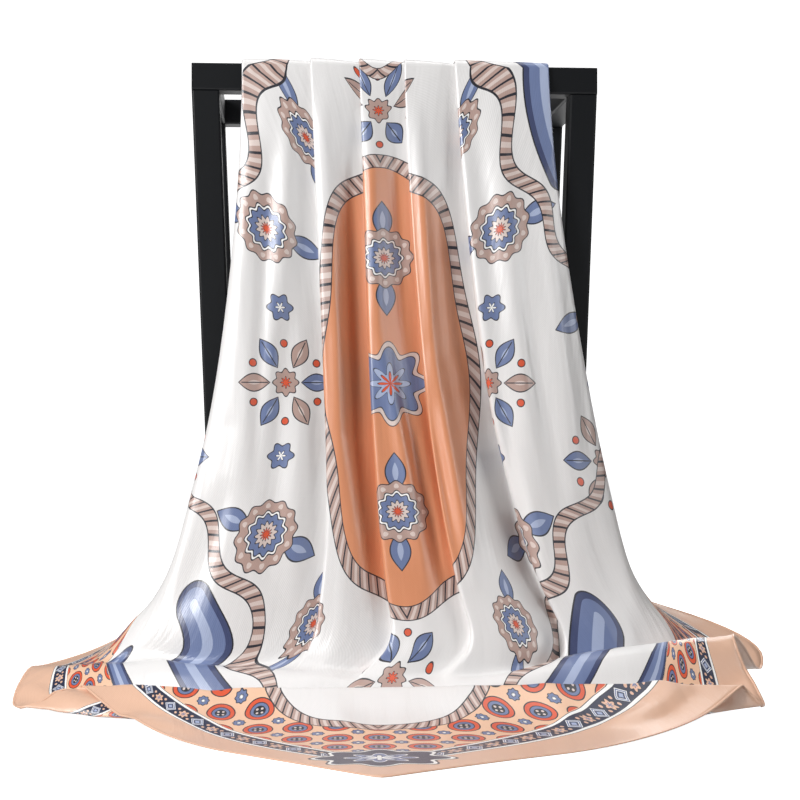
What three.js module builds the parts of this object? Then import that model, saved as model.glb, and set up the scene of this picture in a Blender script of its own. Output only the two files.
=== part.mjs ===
// A silk square scarf hung by its diagonal over the top rail of a square-tube frame stand.
// One corner points forward on the floor and the opposite corner hangs behind the rail.
// Millimetres, +Z up, -Y towards the viewer. The cloth pools at the foot in one long tuck.

import * as THREE from 'three';
import * as BufferGeometryUtils from 'three/addons/utils/BufferGeometryUtils.js';

// Stand
const tubeSize = 25;
const tubeCorner = 2;
const standHeight = 575;
const standHalfWidth = 184.5;
const footHalfWidth = 163;
const frameSpacing = 200;
const cornerSteps = 3;

// Scarf
const wall = 1;
const seamGap = 0.3;
const floorRest = 0.1;
const backCornerHeight = 262;
const cornerHalfWidth = 6;
const evenOut = 4;
const shoulderShare = 0.4;
const columnSteps = 2;
const railCornerSteps = 3;

const halfTube = tubeSize / 2;
const halfWall = wall / 2;
const floorLevel = halfWall + floorRest;
const cornerStart = standHeight - tubeCorner;

const silk = { color: 0xeee6e0, roughness: 0.45, metalness: 0 };
const silkBorder = { color: 0xe3b899, roughness: 0.45, metalness: 0 };
const blackPaint = { color: 0x17191d, roughness: 0.5, metalness: 0.3 };

// Heights of the levels that the fold lines are given at, and the mesh rows below each
const levels = [
  { name: 'bar', height: cornerStart, rows: 0 },
  { name: 'neck', height: 485, rows: 5 },
  { name: 'middle', height: 285, rows: 4 },
  { name: 'low', height: 170, rows: 3 },
  { name: 'ankle', height: 108, rows: 2 },
  { name: 'foot', height: 60, rows: 2 },
];

// Fold lines from the left edge to the right one. x is the place across, and out is how far
// the line stands in front of the rail, both at the levels above.
// A line with turn true starts a hairpin that ends on the next line.
const foldLines = [
  { name: 'left edge', turn: false,
    x: [-134, -110, -104, -132, -178, -312], out: [0.9, 2, 5, 7, 4, -62.5] },
  { name: 'left under', turn: false,
    x: [-136, -120, -122, -152, -192, -296], out: [0.9, 4, 9, 12, 12, -22] },
  { name: 'left under side', turn: false,
    x: [-138, -131, -143, -172, -202, -274], out: [0.9, 6, 13, 18, 22, 12] },
  { name: 'left side back', turn: true,
    x: [-139.2, -139, -160, -188, -207, -246], out: [1.6, 8.5, 18, 24, 32, 32] },
  { name: 'left side front', turn: false,
    x: [-139, -139, -160, -187, -204, -224], out: [3.2, 14, 27, 34, 42, 50] },
  { name: 'panel 0', turn: false,
    x: [-112, -110, -122, -138, -150, -168], out: [4.4, 19, 42, 52, 58, 66] },
  { name: 'fold 1 back', turn: false,
    x: [-80, -78, -72, -80, -86, -95], out: [2.6, 9, 24, 40, 48, 58] },
  { name: 'fold 1 edge', turn: false,
    x: [-76, -74, -65, -63, -68, -76], out: [5.6, 20, 41, 51, 58, 66] },
  { name: 'panel 1', turn: false,
    x: [-57, -57, -50, -45, -46, -50], out: [4.6, 17, 39, 55, 62, 72] },
  { name: 'fold 2 back', turn: false,
    x: [-37, -36, -33, -28, -22, -15], out: [2.2, 9, 22, 38, 48, 60] },
  { name: 'fold 2 edge', turn: false,
    x: [-32, -31, -25, -19, -13, -5], out: [5.6, 21, 43, 57, 65, 75] },
  { name: 'panel 2', turn: false,
    x: [-12, -10, -2, 8, 15, 25], out: [4.2, 14, 34, 56, 66, 80] },
  { name: 'fold 3 back', turn: false,
    x: [3, 4, 14, 25, 36, 50], out: [2.6, 10, 26, 44, 56, 70] },
  { name: 'fold 3 edge', turn: false,
    x: [9, 10, 23, 37, 49, 65], out: [5.2, 18, 41, 61, 72, 85] },
  { name: 'panel 3', turn: false,
    x: [28, 28, 36, 52, 70, 100], out: [4.2, 15, 38, 58, 70, 84] },
  { name: 'panel 3 side', turn: false,
    x: [43, 41, 47, 74, 100, 134], out: [3.2, 10, 30, 46, 60, 74] },
  { name: 'fold 4 back', turn: false,
    x: [49, 50, 58, 88, 112, 141], out: [1.8, 5, 12, 17, 30, 50] },
  { name: 'fold 4 edge', turn: false,
    x: [55, 58, 77, 105, 124, 149], out: [5.6, 22, 43, 45, 50, 61] },
  { name: 'panel 4', turn: false,
    x: [85, 88, 112, 140, 158, 182], out: [4.6, 20, 47, 53, 57, 63] },
  { name: 'panel 4 side', turn: false,
    x: [114, 118, 145, 172, 186, 206], out: [4.2, 17, 39, 45, 50, 57] },
  { name: 'right side front', turn: true,
    x: [139, 141, 171, 195, 210, 228], out: [3.2, 14, 26, 32, 38, 46] },
  { name: 'right side back', turn: false,
    x: [139.2, 141, 171, 195, 213, 252], out: [1.6, 8.5, 17, 22, 26, 34] },
  { name: 'right under side', turn: false,
    x: [138, 132, 150, 178, 214, 286], out: [0.9, 6, 12, 16, 18, 16] },
  { name: 'right under', turn: false,
    x: [136, 121, 129, 158, 206, 318], out: [0.9, 4, 8, 10, 10, -2] },
  { name: 'right edge', turn: false,
    x: [134, 111, 108, 138, 192, 346], out: [0.9, 2, 5, 7, 4, -23.5] },
];
const centreLine = 11;

// Rows of the floor part, from the foot of the fall to the front corner. Each has five
// points, at the shares of the half width below, and the share of the pleats that it keeps.
// A row with turn true starts a fold that ends on the next row.
const shares = [-1, -0.55, 0, 0.55, 1];
const floorRows = [
  { name: 'hollow', rows: 2, pleats: 0.6, turn: false,
    x: [-322, -168, -8, 175, 335], y: [15, -80, -104, -85, -30], z: [36, 44, 34, 30, 10] },
  { name: 'roll', rows: 2, pleats: 0.25, turn: false,
    x: [-330, -172, -10, 190, 283], y: [-15, -98, -118, -105, -95], z: [34, 48, 20, 70, 80] },
  { name: 'under', rows: 2, pleats: 0, turn: false,
    x: [-338, -170, -14, 185, 304], y: [-58, -122, -140, -135, -104], z: [12, 4, 3, 6, 30] },
  { name: 'bottom fold', rows: 3, pleats: 0, turn: false,
    x: [-331, -170, -24, 180, 310], y: [-97, -167, -185, -190, -138], z: [8, 3, 2.5, 2.5, 6] },
  { name: 'crest under', rows: 2, pleats: 0, turn: true,
    x: [-280, -160, -24, 150, 290], y: [-77, -131, -147, -148, -136], z: [22, 28, 29, 30, 26] },
  { name: 'crest over', rows: 2, pleats: 0, turn: false,
    x: [-276, -159, -24, 149, 287], y: [-80, -134, -150, -151, -140], z: [26, 32, 33, 34, 29.5] },
  { name: 'upper slope', rows: 2, pleats: 0, turn: false,
    x: [-250, -145, -26, 118, 238], y: [-124, -172, -184, -184, -190], z: [18, 16, 14, 14, 12] },
  { name: 'toe', rows: 2, pleats: 0, turn: false,
    x: [-182, -108, -28, 62, 150], y: [-224, -232, -236, -236, -262], z: [0.6, 1, 1.5, 1, 0.6] },
  { name: 'near corner', rows: 2, pleats: 0, turn: false,
    x: [-95, -68, -32, 8, 43], y: [-303, -301, -303, -304, -314], z: [0.6, 0.6, 0.6, 0.6, 0.6] },
  { name: 'corner', rows: 0, pleats: 0, turn: false,
    x: [-39, -36, -33, -30, -27], y: [-356, -357, -358, -357, -356], z: [0.6, 0.6, 0.6, 0.6, 0.6] },
];

// Levels of the back fall. width is the share of the width at the rail, open is how far the
// curled sides have opened out, deep is the share of the front neck's pleat depth, and
// even is how far the pleats have gone.
const backLevels = [
  { name: 'back shoulder', height: 490, rows: 3, width: 0.86, open: 0.3, deep: 0.8, even: 0 },
  { name: 'back middle', height: 380, rows: 3, width: 0.58, open: 0.8, deep: 0.7, even: 0.3 },
  { name: 'back corner', height: backCornerHeight, rows: 0, width: 0, open: 1, deep: 0.3, even: 1 },
];

function lerp(a, b, t) {
  return a + (b - a) * t;
}

function halfway(a, b) {
  return a.clone().lerp(b, 0.5);
}

// Point of the smooth curve that a list of control points pulls into shape
function curveAt(points, position) {
  const last = points.length - 1;
  const span = Math.min(Math.floor(position), last - 2) + 1;
  const t = position - (span - 1);
  const start = span === 1 ? points[0] : halfway(points[span - 1], points[span]);
  const end = span === last - 1 ? points[last] : halfway(points[span], points[span + 1]);
  return start.clone().lerp(points[span], t).lerp(points[span].clone().lerp(end, t), t);
}

// Value at a share of the half width, smooth through the five given ones with no overshoot
function valueAtShare(values, share) {
  const count = shares.length;
  const slopes = [];
  for (let i = 0; i < count - 1; i += 1) {
    slopes.push((values[i + 1] - values[i]) / (shares[i + 1] - shares[i]));
  }
  const tangents = shares.map((_, i) => {
    if (i === 0 || i === count - 1) return slopes[Math.min(i, count - 2)];
    const product = slopes[i - 1] * slopes[i];
    return product <= 0 ? 0 : (2 * product) / (slopes[i - 1] + slopes[i]);
  });
  let k = 0;
  while (k < count - 2 && share > shares[k + 1]) k += 1;
  const width = shares[k + 1] - shares[k];
  const t = (share - shares[k]) / width;
  const rise = values[k + 1] - values[k];
  const bend = (tangents[k] * width - rise) * (1 - t) + (rise - tangents[k + 1] * width) * t;
  return values[k] + rise * t + t * (1 - t) * bend;
}

// Share of the half width of each point in a row, by its length along the row
function rowShares(row) {
  const lengths = [0];
  for (let i = 1; i < row.length; i += 1) {
    lengths.push(lengths[i - 1] + row[i].distanceTo(row[i - 1]));
  }
  const centre = lengths[centreLine];
  const total = lengths[row.length - 1];
  return lengths.map((s) => (s < centre ? (s - centre) / centre : (s - centre) / (total - centre)));
}

// Adds a point close by on each side of a hairpin, so that it turns as a round roll
function roundTurns(points, turns) {
  const result = [];
  points.forEach((point, i) => {
    if (turns[i]) result.push(shoulder(point, points[i - 1], points[i + 1]));
    result.push(point);
    if (turns[i - 1]) result.push(shoulder(point, points[i + 1], points[i - 1]));
  });
  return result;
}

function shoulder(point, neighbour, partner) {
  const reach = point.distanceTo(partner) / point.distanceTo(neighbour);
  return point.clone().lerp(neighbour, Math.min(shoulderShare, reach));
}

function levelRow(level) {
  const height = levels[level].height;
  return foldLines.map((line) => new THREE.Vector3(line.x[level], -halfTube - line.out[level], height));
}

// Rows of control points from the rail down to the front corner
function frontControlRows() {
  const fall = levels.map((_, level) => levelRow(level));
  const foot = fall[fall.length - 1];
  const places = rowShares(foot);
  const plainFoot = places.map((share) => footAtShare(foot, places, share));
  const floor = floorRows.map((row) => places.map((share, i) => {
    const pleat = foot[i].clone().sub(plainFoot[i]).multiplyScalar(row.pleats);
    const plain = new THREE.Vector3(
      valueAtShare(row.x, share), valueAtShare(row.y, share), valueAtShare(row.z, share));
    const point = plain.add(pleat);
    point.z = Math.max(point.z, floorLevel);
    return point;
  }));
  return [...fall, ...floor];
}

// The foot row without its pleats: a smooth curve through five of its points
function footAtShare(foot, places, share) {
  const picks = shares.map((wanted) => {
    const nearest = places.reduce(
      (best, place, i) => (Math.abs(place - wanted) < Math.abs(places[best] - wanted) ? i : best), 0);
    return foot[nearest];
  });
  return new THREE.Vector3(
    valueAtShare(picks.map((p) => p.x), share),
    valueAtShare(picks.map((p) => p.y), share),
    valueAtShare(picks.map((p) => p.z), share));
}

const lineTurns = foldLines.map((line) => line.turn);
const lineCount = roundTurns(levelRow(1), lineTurns).length;
const columnPlaces = Array.from({ length: (lineCount - 2) * columnSteps + 1 }, (_, i) => i / columnSteps);

// Fine row of points from a row of control points
function smoothRow(controls) {
  const rounded = roundTurns(controls, lineTurns);
  return columnPlaces.map((place) => curveAt(rounded, place));
}

// Fine rows from control rows, with the given number of mesh rows for each control row
function smoothRows(controlRows, counts, turns) {
  const columns = columnPlaces.map((_, c) => roundTurns(controlRows.map((row) => row[c]), turns));
  const fullCounts = [];
  counts.forEach((count, i) => {
    if (turns[i]) fullCounts.push(1);
    fullCounts.push(count);
    if (turns[i - 1]) fullCounts.push(1);
  });
  const places = [0];
  fullCounts.forEach((count, i) => {
    for (let step = 1; step <= count && i > 0; step += 1) places.push(i - 1 + step / count);
  });
  return places.map((place) => columns.map((column) => curveAt(column, place)));
}

// Rows that wrap the cloth over the rail, from its front face to its back face
function railRows(barRow) {
  const places = [];
  for (let i = 0; i <= railCornerSteps; i += 1) {
    places.push({ centre: tubeCorner - halfTube, angle: Math.PI - (Math.PI / 2) * (i / railCornerSteps) });
  }
  for (let i = 0; i <= railCornerSteps; i += 1) {
    places.push({ centre: halfTube - tubeCorner, angle: (Math.PI / 2) * (1 - i / railCornerSteps) });
  }
  return places.map(({ centre, angle }) => barRow.map((point) => {
    const radius = tubeCorner - halfTube - point.y;
    return new THREE.Vector3(
      point.x, centre + radius * Math.cos(angle), cornerStart + radius * Math.sin(angle));
  }));
}

// Rows of the back fall, from the rail to the back corner
function backControlRows(barRow, neckRow) {
  const places = rowShares(barRow);
  const side = Math.max(...barRow.map((point) => point.x));
  const top = barRow.map((point) => new THREE.Vector3(point.x, -point.y, cornerStart));
  const lower = backLevels.map((level) => barRow.map((point, i) => {
    const halfWidth = lerp(cornerHalfWidth, side, level.width);
    const folded = (point.x / side) * halfWidth;
    const out = lerp(lerp(-point.y, -neckRow[i].y, level.deep), halfTube + evenOut, level.even);
    return new THREE.Vector3(
      lerp(folded, places[i] * halfWidth, level.open), out, level.height);
  }));
  return [top, ...lower];
}

// Moves the first and last rows in, so that neighbouring stretches part by the seam gap
function trimEnds(rows, trimFirst, trimLast) {
  const trimmed = rows.map((row) => row.map((point) => point.clone()));
  const last = rows.length - 1;
  rows[0].forEach((_, c) => {
    if (trimFirst) moveTowards(trimmed[0][c], rows[1][c], seamGap / 2);
    if (trimLast) moveTowards(trimmed[last][c], rows[last - 1][c], seamGap / 2);
  });
  return trimmed;
}

function moveTowards(point, target, distance) {
  point.lerp(target, distance / point.distanceTo(target));
}

// Unit normals of a grid of points, from its neighbours along and across
function gridNormals(rows) {
  return rows.map((row, r) => row.map((_, c) => {
    const down = rows[Math.min(r + 1, rows.length - 1)][c].clone().sub(rows[Math.max(r - 1, 0)][c]);
    const across = row[Math.min(c + 1, row.length - 1)].clone().sub(row[Math.max(c - 1, 0)]);
    return down.cross(across).normalize();
  }));
}

// Closed wall of cloth around a grid of points, half its thickness to each side
function clothWall(rows, normals) {
  const width = rows[0].length;
  const height = rows.length;
  const positions = [];
  for (const side of [halfWall, -halfWall]) {
    rows.forEach((row, r) => row.forEach((point, c) => {
      const moved = point.clone().addScaledVector(normals[r][c], side);
      positions.push(moved.x, moved.y, moved.z);
    }));
  }
  const front = (r, c) => r * width + c;
  const back = (r, c) => (height + r) * width + c;
  const index = [];
  const addQuad = (a, b, c, d) => index.push(a, b, c, a, c, d);
  for (let r = 0; r < height - 1; r += 1) {
    for (let c = 0; c < width - 1; c += 1) {
      addQuad(front(r, c), front(r + 1, c), front(r + 1, c + 1), front(r, c + 1));
      addQuad(back(r, c), back(r, c + 1), back(r + 1, c + 1), back(r + 1, c));
    }
    addQuad(front(r, 0), back(r, 0), back(r + 1, 0), front(r + 1, 0));
    addQuad(front(r, width - 1), front(r + 1, width - 1), back(r + 1, width - 1), back(r, width - 1));
  }
  for (let c = 0; c < width - 1; c += 1) {
    addQuad(front(0, c), front(0, c + 1), back(0, c + 1), back(0, c));
    addQuad(front(height - 1, c), back(height - 1, c), back(height - 1, c + 1), front(height - 1, c + 1));
  }
  const geometry = new THREE.BufferGeometry();
  geometry.setAttribute('position', new THREE.Float32BufferAttribute(positions, 3));
  geometry.setIndex(index);
  return geometry;
}

function makeMesh(name, geometry, finish) {
  geometry.computeVertexNormals();
  const mesh = new THREE.Mesh(geometry, new THREE.MeshStandardMaterial(finish));
  mesh.name = name;
  return mesh;
}

// The four stretches of the scarf that show
function makeScarf() {
  const controls = frontControlRows().map(smoothRow);
  const turns = [...levels.map(() => false), ...floorRows.map((row) => row.turn)];
  const counts = [...levels.map((level) => level.rows), ...floorRows.map((row) => row.rows)];
  const front = smoothRows(controls, counts, turns);
  const footRow = levels.reduce((sum, level) => sum + level.rows, 0);

  const barRow = controls[0];
  const rail = railRows(barRow);
  const backControls = backControlRows(levelRow(0), levelRow(1)).map(smoothRow);
  const backCounts = [0, ...backLevels.map((level) => level.rows)];
  const back = smoothRows(backControls, backCounts, backCounts.map(() => false));

  const whole = [...front.slice().reverse(), ...rail.slice(1, -1), ...back];
  const wholeNormals = gridNormals(whole).map((row) => row.map((normal) => normal.negate()));
  const footAt = front.length - 1 - footRow;
  const barAt = front.length - 1;
  const backAt = barAt + rail.length - 1;

  const stretch = (name, from, to, finish) => {
    const rows = whole.slice(from, to + 1);
    const normals = wholeNormals.slice(from, to + 1);
    const trimmed = trimEnds(rows, from > 0, to < whole.length - 1);
    return makeMesh(name, clothWall(trimmed.reverse(), normals.reverse()), finish);
  };
  return [
    stretch('floor_spread', 0, footAt, silkBorder),
    stretch('front_fall', footAt, barAt, silk),
    stretch('over_rail', barAt, backAt, silk),
    stretch('back_fall', backAt, whole.length - 1, silk),
  ];
}

// Outline of the square tube with rounded corners, counterclockwise
function tubeOutline() {
  const points = [];
  const reach = halfTube - tubeCorner;
  for (let corner = 0; corner < 4; corner += 1) {
    const middle = Math.PI / 4 + corner * (Math.PI / 2);
    const centreX = Math.sign(Math.cos(middle)) * reach;
    const centreY = Math.sign(Math.sin(middle)) * reach;
    for (let step = 0; step <= cornerSteps; step += 1) {
      const angle = middle + (Math.PI / 2) * (step / cornerSteps - 0.5);
      points.push(new THREE.Vector2(
        centreX + tubeCorner * Math.cos(angle), centreY + tubeCorner * Math.sin(angle)));
    }
  }
  return points;
}

// Tube of a given length along Z, with its far end moved sideways by lean
function tubeGeometry(length, lean) {
  const geometry = new THREE.ExtrudeGeometry(new THREE.Shape(tubeOutline()), {
    depth: length, bevelEnabled: false, steps: 1,
  });
  geometry.deleteAttribute('normal');
  geometry.deleteAttribute('uv');
  const shear = new THREE.Matrix4().makeShear(0, 0, 0, 0, lean / length, 0);
  geometry.applyMatrix4(shear);
  return BufferGeometryUtils.mergeVertices(geometry);
}

// One leg, upright along Z and leaning out from the foot to the corner of the frame
function makeLeg(name, side, y) {
  const length = standHeight - tubeSize - seamGap;
  const footX = side * (footHalfWidth - halfTube);
  const topX = side * (standHalfWidth - halfTube);
  const leg = makeMesh(name, tubeGeometry(length, topX - footX), blackPaint);
  leg.position.set(footX, y, 0);
  return leg;
}

// Front or rear top rail, along X
function makeTopRail(name, y) {
  const rail = makeMesh(name, tubeGeometry(2 * standHalfWidth, 0), blackPaint);
  rail.rotation.y = Math.PI / 2;
  rail.position.set(-standHalfWidth, y, standHeight - halfTube);
  return rail;
}

// Short top rail that joins the front frame to the rear one, along Y
function makeSideRail(name, side) {
  const length = frameSpacing - tubeSize - 2 * seamGap;
  const rail = makeMesh(name, tubeGeometry(length, 0), blackPaint);
  rail.rotation.x = -Math.PI / 2;
  rail.position.set(side * (standHalfWidth - halfTube), halfTube + seamGap, standHeight - halfTube);
  return rail;
}

function makeStand() {
  return [
    makeTopRail('front_rail', 0),
    makeTopRail('rear_rail', frameSpacing),
    makeSideRail('left_side_rail', -1),
    makeSideRail('right_side_rail', 1),
    makeLeg('front_left_leg', -1, 0),
    makeLeg('front_right_leg', 1, 0),
    makeLeg('rear_left_leg', -1, frameSpacing),
    makeLeg('rear_right_leg', 1, frameSpacing),
  ];
}

const group = new THREE.Group();
const model = new THREE.Group();
model.add(...makeStand(), ...makeScarf());
group.add(model);

// The origin is the middle of the underside of the whole object's box
const box = new THREE.Box3().setFromObject(model, true);
const centre = box.getCenter(new THREE.Vector3());
model.position.set(-centre.x, -centre.y, -box.min.z);

export default group;
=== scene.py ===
import math

import bpy
import numpy as np
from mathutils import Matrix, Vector


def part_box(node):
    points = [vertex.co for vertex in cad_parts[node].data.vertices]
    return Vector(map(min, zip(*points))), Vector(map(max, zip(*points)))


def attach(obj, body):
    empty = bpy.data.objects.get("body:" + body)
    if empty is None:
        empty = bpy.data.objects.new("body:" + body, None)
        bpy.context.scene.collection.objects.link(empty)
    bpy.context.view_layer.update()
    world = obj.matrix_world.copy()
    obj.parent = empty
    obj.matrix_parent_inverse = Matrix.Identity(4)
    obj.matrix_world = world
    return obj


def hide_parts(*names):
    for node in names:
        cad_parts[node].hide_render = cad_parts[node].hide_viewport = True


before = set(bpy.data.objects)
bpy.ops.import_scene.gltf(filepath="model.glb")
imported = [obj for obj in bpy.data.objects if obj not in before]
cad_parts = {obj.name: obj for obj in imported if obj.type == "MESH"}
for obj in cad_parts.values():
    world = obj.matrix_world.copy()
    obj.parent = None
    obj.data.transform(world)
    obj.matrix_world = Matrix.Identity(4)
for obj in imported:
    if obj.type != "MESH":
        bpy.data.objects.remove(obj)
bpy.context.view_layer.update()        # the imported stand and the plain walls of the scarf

bpy.ops.object.select_all(action="DESELECT")

mm = 0.001

# The front rail carries the scarf, so every place below is in mm from the rail's middle at floor level
railLow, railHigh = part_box("front_rail")
railX = (railLow[0] + railHigh[0]) / 2 / mm
railY = (railLow[1] + railHigh[1]) / 2 / mm
railTop = railHigh[2] / mm
halfTube = (railHigh[1] - railLow[1]) / 2 / mm


# Scarf shape

# Levels of the front fall. height is above the floor, and centre, left and right are how far the cloth's
# middle and its two edges lie from the front corner, along the diagonal. shift moves the print's middle.
fallLevels = [
    {"name": "bar", "height": railTop - 2, "centre": 924, "left": 924, "right": 924, "shift": 3, "sag": -84},
    {"name": "neck", "height": 485, "centre": 836, "left": 836, "right": 836, "shift": 4, "sag": -28},
    {"name": "middle", "height": 285, "centre": 636, "left": 636, "right": 636, "shift": 4, "sag": 0},
    {"name": "low", "height": 170, "centre": 521, "left": 535, "right": 572, "shift": 8, "sag": 8},
    {"name": "ankle", "height": 108, "centre": 459, "left": 482, "right": 534, "shift": 11, "sag": 25},
    {"name": "foot", "height": 60, "centre": 411, "left": 433, "right": 502, "shift": 15, "sag": 40},
]

# Fold lines from the left edge to the right edge. x is across and out is in front of the rail, a value
# for each level. A turn starts a hairpin that ends on the next line. A fold is a panel's edge that laps
# over its left neighbour: back is where the neighbour runs in behind it, tuck how far it runs in.
foldLines = [
    {"name": "leftEdge", "drop": 16,
     "x": [-134, -62, -40, -88, -160, -262], "out": [0.9, 2, 5, 7, 4, -48]},
    {"name": "leftUnder", "drop": 12, "hidden": 0.3,
     "x": [-136, -94, -84, -124, -182, -258], "out": [0.9, 4, 9, 12, 12, -18]},
    {"name": "leftUnderSide", "drop": 6, "hidden": 1,
     "x": [-138, -126, -132, -164, -200, -252], "out": [0.9, 6, 13, 18, 22, 12]},
    {"name": "leftSideBack", "turn": True, "hidden": 1,
     "x": [-139.2, -139, -160, -188, -207, -246], "out": [1.6, 8.5, 18, 24, 32, 32]},
    {"name": "leftSide", "x": [-139, -139, -160, -187, -204, -224], "out": [3.2, 14, 27, 34, 42, 50]},
    {"name": "panel0", "x": [-112, -110, -122, -138, -150, -168], "out": [4.4, 19, 42, 52, 58, 66]},
    {"name": "fold1", "back": [2.6, 9, 24, 40, 48, 58], "tuck": [4, 11, 14, 9, 4, 1],
     "x": [-77, -74, -66, -63, -68, -76], "out": [5.6, 20, 41, 51, 58, 66]},
    {"name": "panel1", "x": [-56, -56, -50, -45, -46, -50], "out": [4.6, 18, 40, 55, 62, 72]},
    {"name": "fold2", "back": [2.2, 9, 22, 38, 48, 60], "tuck": [4, 13, 16, 11, 7, 3],
     "x": [-33, -31, -26, -19, -13, -5], "out": [5.6, 21, 43, 57, 65, 75]},
    {"name": "panel2", "centre": True, "x": [-12, -10, -3, 8, 15, 25], "out": [4.4, 16, 37, 57, 66, 80]},
    {"name": "fold3", "back": [2.6, 10, 27, 45, 56, 70], "tuck": [3, 8, 9, 7, 5, 2],
     "x": [8, 9, 22, 37, 49, 65], "out": [5.2, 18, 41, 61, 72, 85]},
    {"name": "panel3", "x": [28, 28, 36, 52, 70, 100], "out": [4.2, 15, 38, 58, 70, 84]},
    {"name": "panel3Side", "x": [42, 41, 47, 74, 100, 134], "out": [3.2, 10, 30, 46, 60, 74]},
    {"name": "fold4", "back": [1.8, 5, 12, 17, 30, 50], "tuck": [4, 14, 18, 14, 8, 2],
     "x": [54, 57, 76, 104, 124, 149], "out": [5.6, 22, 43, 45, 50, 61]},
    {"name": "panel4", "x": [85, 88, 112, 140, 158, 182], "out": [4.6, 20, 47, 53, 57, 63]},
    {"name": "panel4Side", "x": [114, 118, 145, 172, 186, 206], "out": [4.2, 17, 39, 45, 50, 57]},
    {"name": "rightSide", "turn": True, "x": [139, 141, 171, 195, 210, 228], "out": [3.2, 14, 26, 32, 38, 46]},
    {"name": "rightSideBack", "hidden": 1,
     "x": [139.2, 141, 171, 195, 213, 252], "out": [1.6, 8.5, 17, 22, 26, 34]},
    {"name": "rightUnderSide", "drop": 6, "hidden": 1,
     "x": [138, 128, 142, 170, 210, 266], "out": [0.9, 6, 12, 16, 18, 16]},
    {"name": "rightUnder", "drop": 10, "hidden": 0.3,
     "x": [136, 94, 90, 122, 186, 304], "out": [0.9, 4, 8, 10, 10, -2]},
    {"name": "rightEdge", "drop": 8,
     "x": [134, 60, 36, 84, 160, 344], "out": [0.9, 2, 4, 6, 4, -23.5]},
]

# Rows of the floor part, from the foot of the fall to the front corner, with five points each at these
# shares of the half width. pleats is how much of the foot's pleats a row keeps.
shares = [-1, -0.55, 0, 0.55, 1]
floorRows = [
    {"name": "hollow", "pleats": 0.6, "sag": 44, "centre": 396, "left": 412, "right": 463,
     "x": [-322, -168, -8, 175, 335], "y": [15, -80, -104, -85, -30], "z": [28, 40, 34, 30, 14]},
    {"name": "roll", "pleats": 0.25, "sag": 56, "centre": 380, "left": 390, "right": 392,
     "x": [-330, -172, -10, 190, 283], "y": [-15, -98, -118, -105, -95], "z": [34, 48, 20, 70, 80]},
    {"name": "under", "pleats": 0, "sag": 80, "centre": 312, "left": 351, "right": 346,
     "x": [-338, -170, -14, 185, 304], "y": [-58, -122, -140, -135, -104], "z": [12, 4, 3, 6, 30]},
    {"name": "bottomFold", "pleats": 0, "sag": 30, "centre": 262, "left": 324, "right": 324,
     "x": [-331, -170, -24, 180, 310], "y": [-97, -167, -185, -190, -138], "z": [8, 3, 2.5, 2.5, 6]},
    {"name": "crestUnder", "turn": True, "pleats": 0, "sag": 0, "centre": 226, "left": 280, "right": 300,
     "x": [-280, -160, -24, 150, 290], "y": [-77, -131, -147, -148, -136], "z": [22, 28, 29, 30, 26]},
    {"name": "crestOver", "pleats": 0, "sag": 0, "centre": 222, "left": 277, "right": 296,
     "x": [-276, -159, -24, 149, 287], "y": [-80, -134, -150, -151, -140], "z": [26, 32, 33, 34, 29.5]},
    {"name": "upperSlope", "pleats": 0, "sag": 0, "centre": 193, "left": 230, "right": 230,
     "x": [-250, -145, -26, 118, 238], "y": [-124, -176, -190, -188, -190], "z": [14, 8, 10, 8, 8]},
    {"name": "toe", "pleats": 0, "sag": 0, "centre": 134, "left": 150, "right": 150,
     "x": [-182, -108, -28, 62, 150], "y": [-224, -232, -236, -236, -262], "z": [0.6, 1, 1.5, 1, 0.6]},
    {"name": "nearCorner", "pleats": 0, "sag": 0, "centre": 60, "left": 65, "right": 65,
     "x": [-95, -68, -32, 8, 43], "y": [-303, -301, -303, -304, -314], "z": [0.6, 0.6, 0.6, 0.6, 0.6]},
    {"name": "corner", "pleats": 0, "sag": 0, "centre": 5, "left": 6, "right": 6,
     "x": [-39, -36, -33, -30, -27], "y": [-356, -357, -358, -357, -356], "z": [0.6, 0.6, 0.6, 0.6, 0.6]},
]

# Levels of the back fall. width is the share of the width at the rail, open how far the curled sides
# have opened, deep the share of the front neck's pleats, and even how far the pleats have gone.
backLevels = [
    {"name": "shoulder", "height": 490, "centre": 1040, "width": 0.86, "open": 0.3, "deep": 0.8, "even": 0},
    {"name": "middle", "height": 380, "centre": 1150, "width": 0.58, "open": 0.8, "deep": 0.7, "even": 0.3},
    {"name": "corner", "height": 262, "centre": 1267, "width": 0, "open": 1, "deep": 0.3, "even": 1},
]

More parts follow.
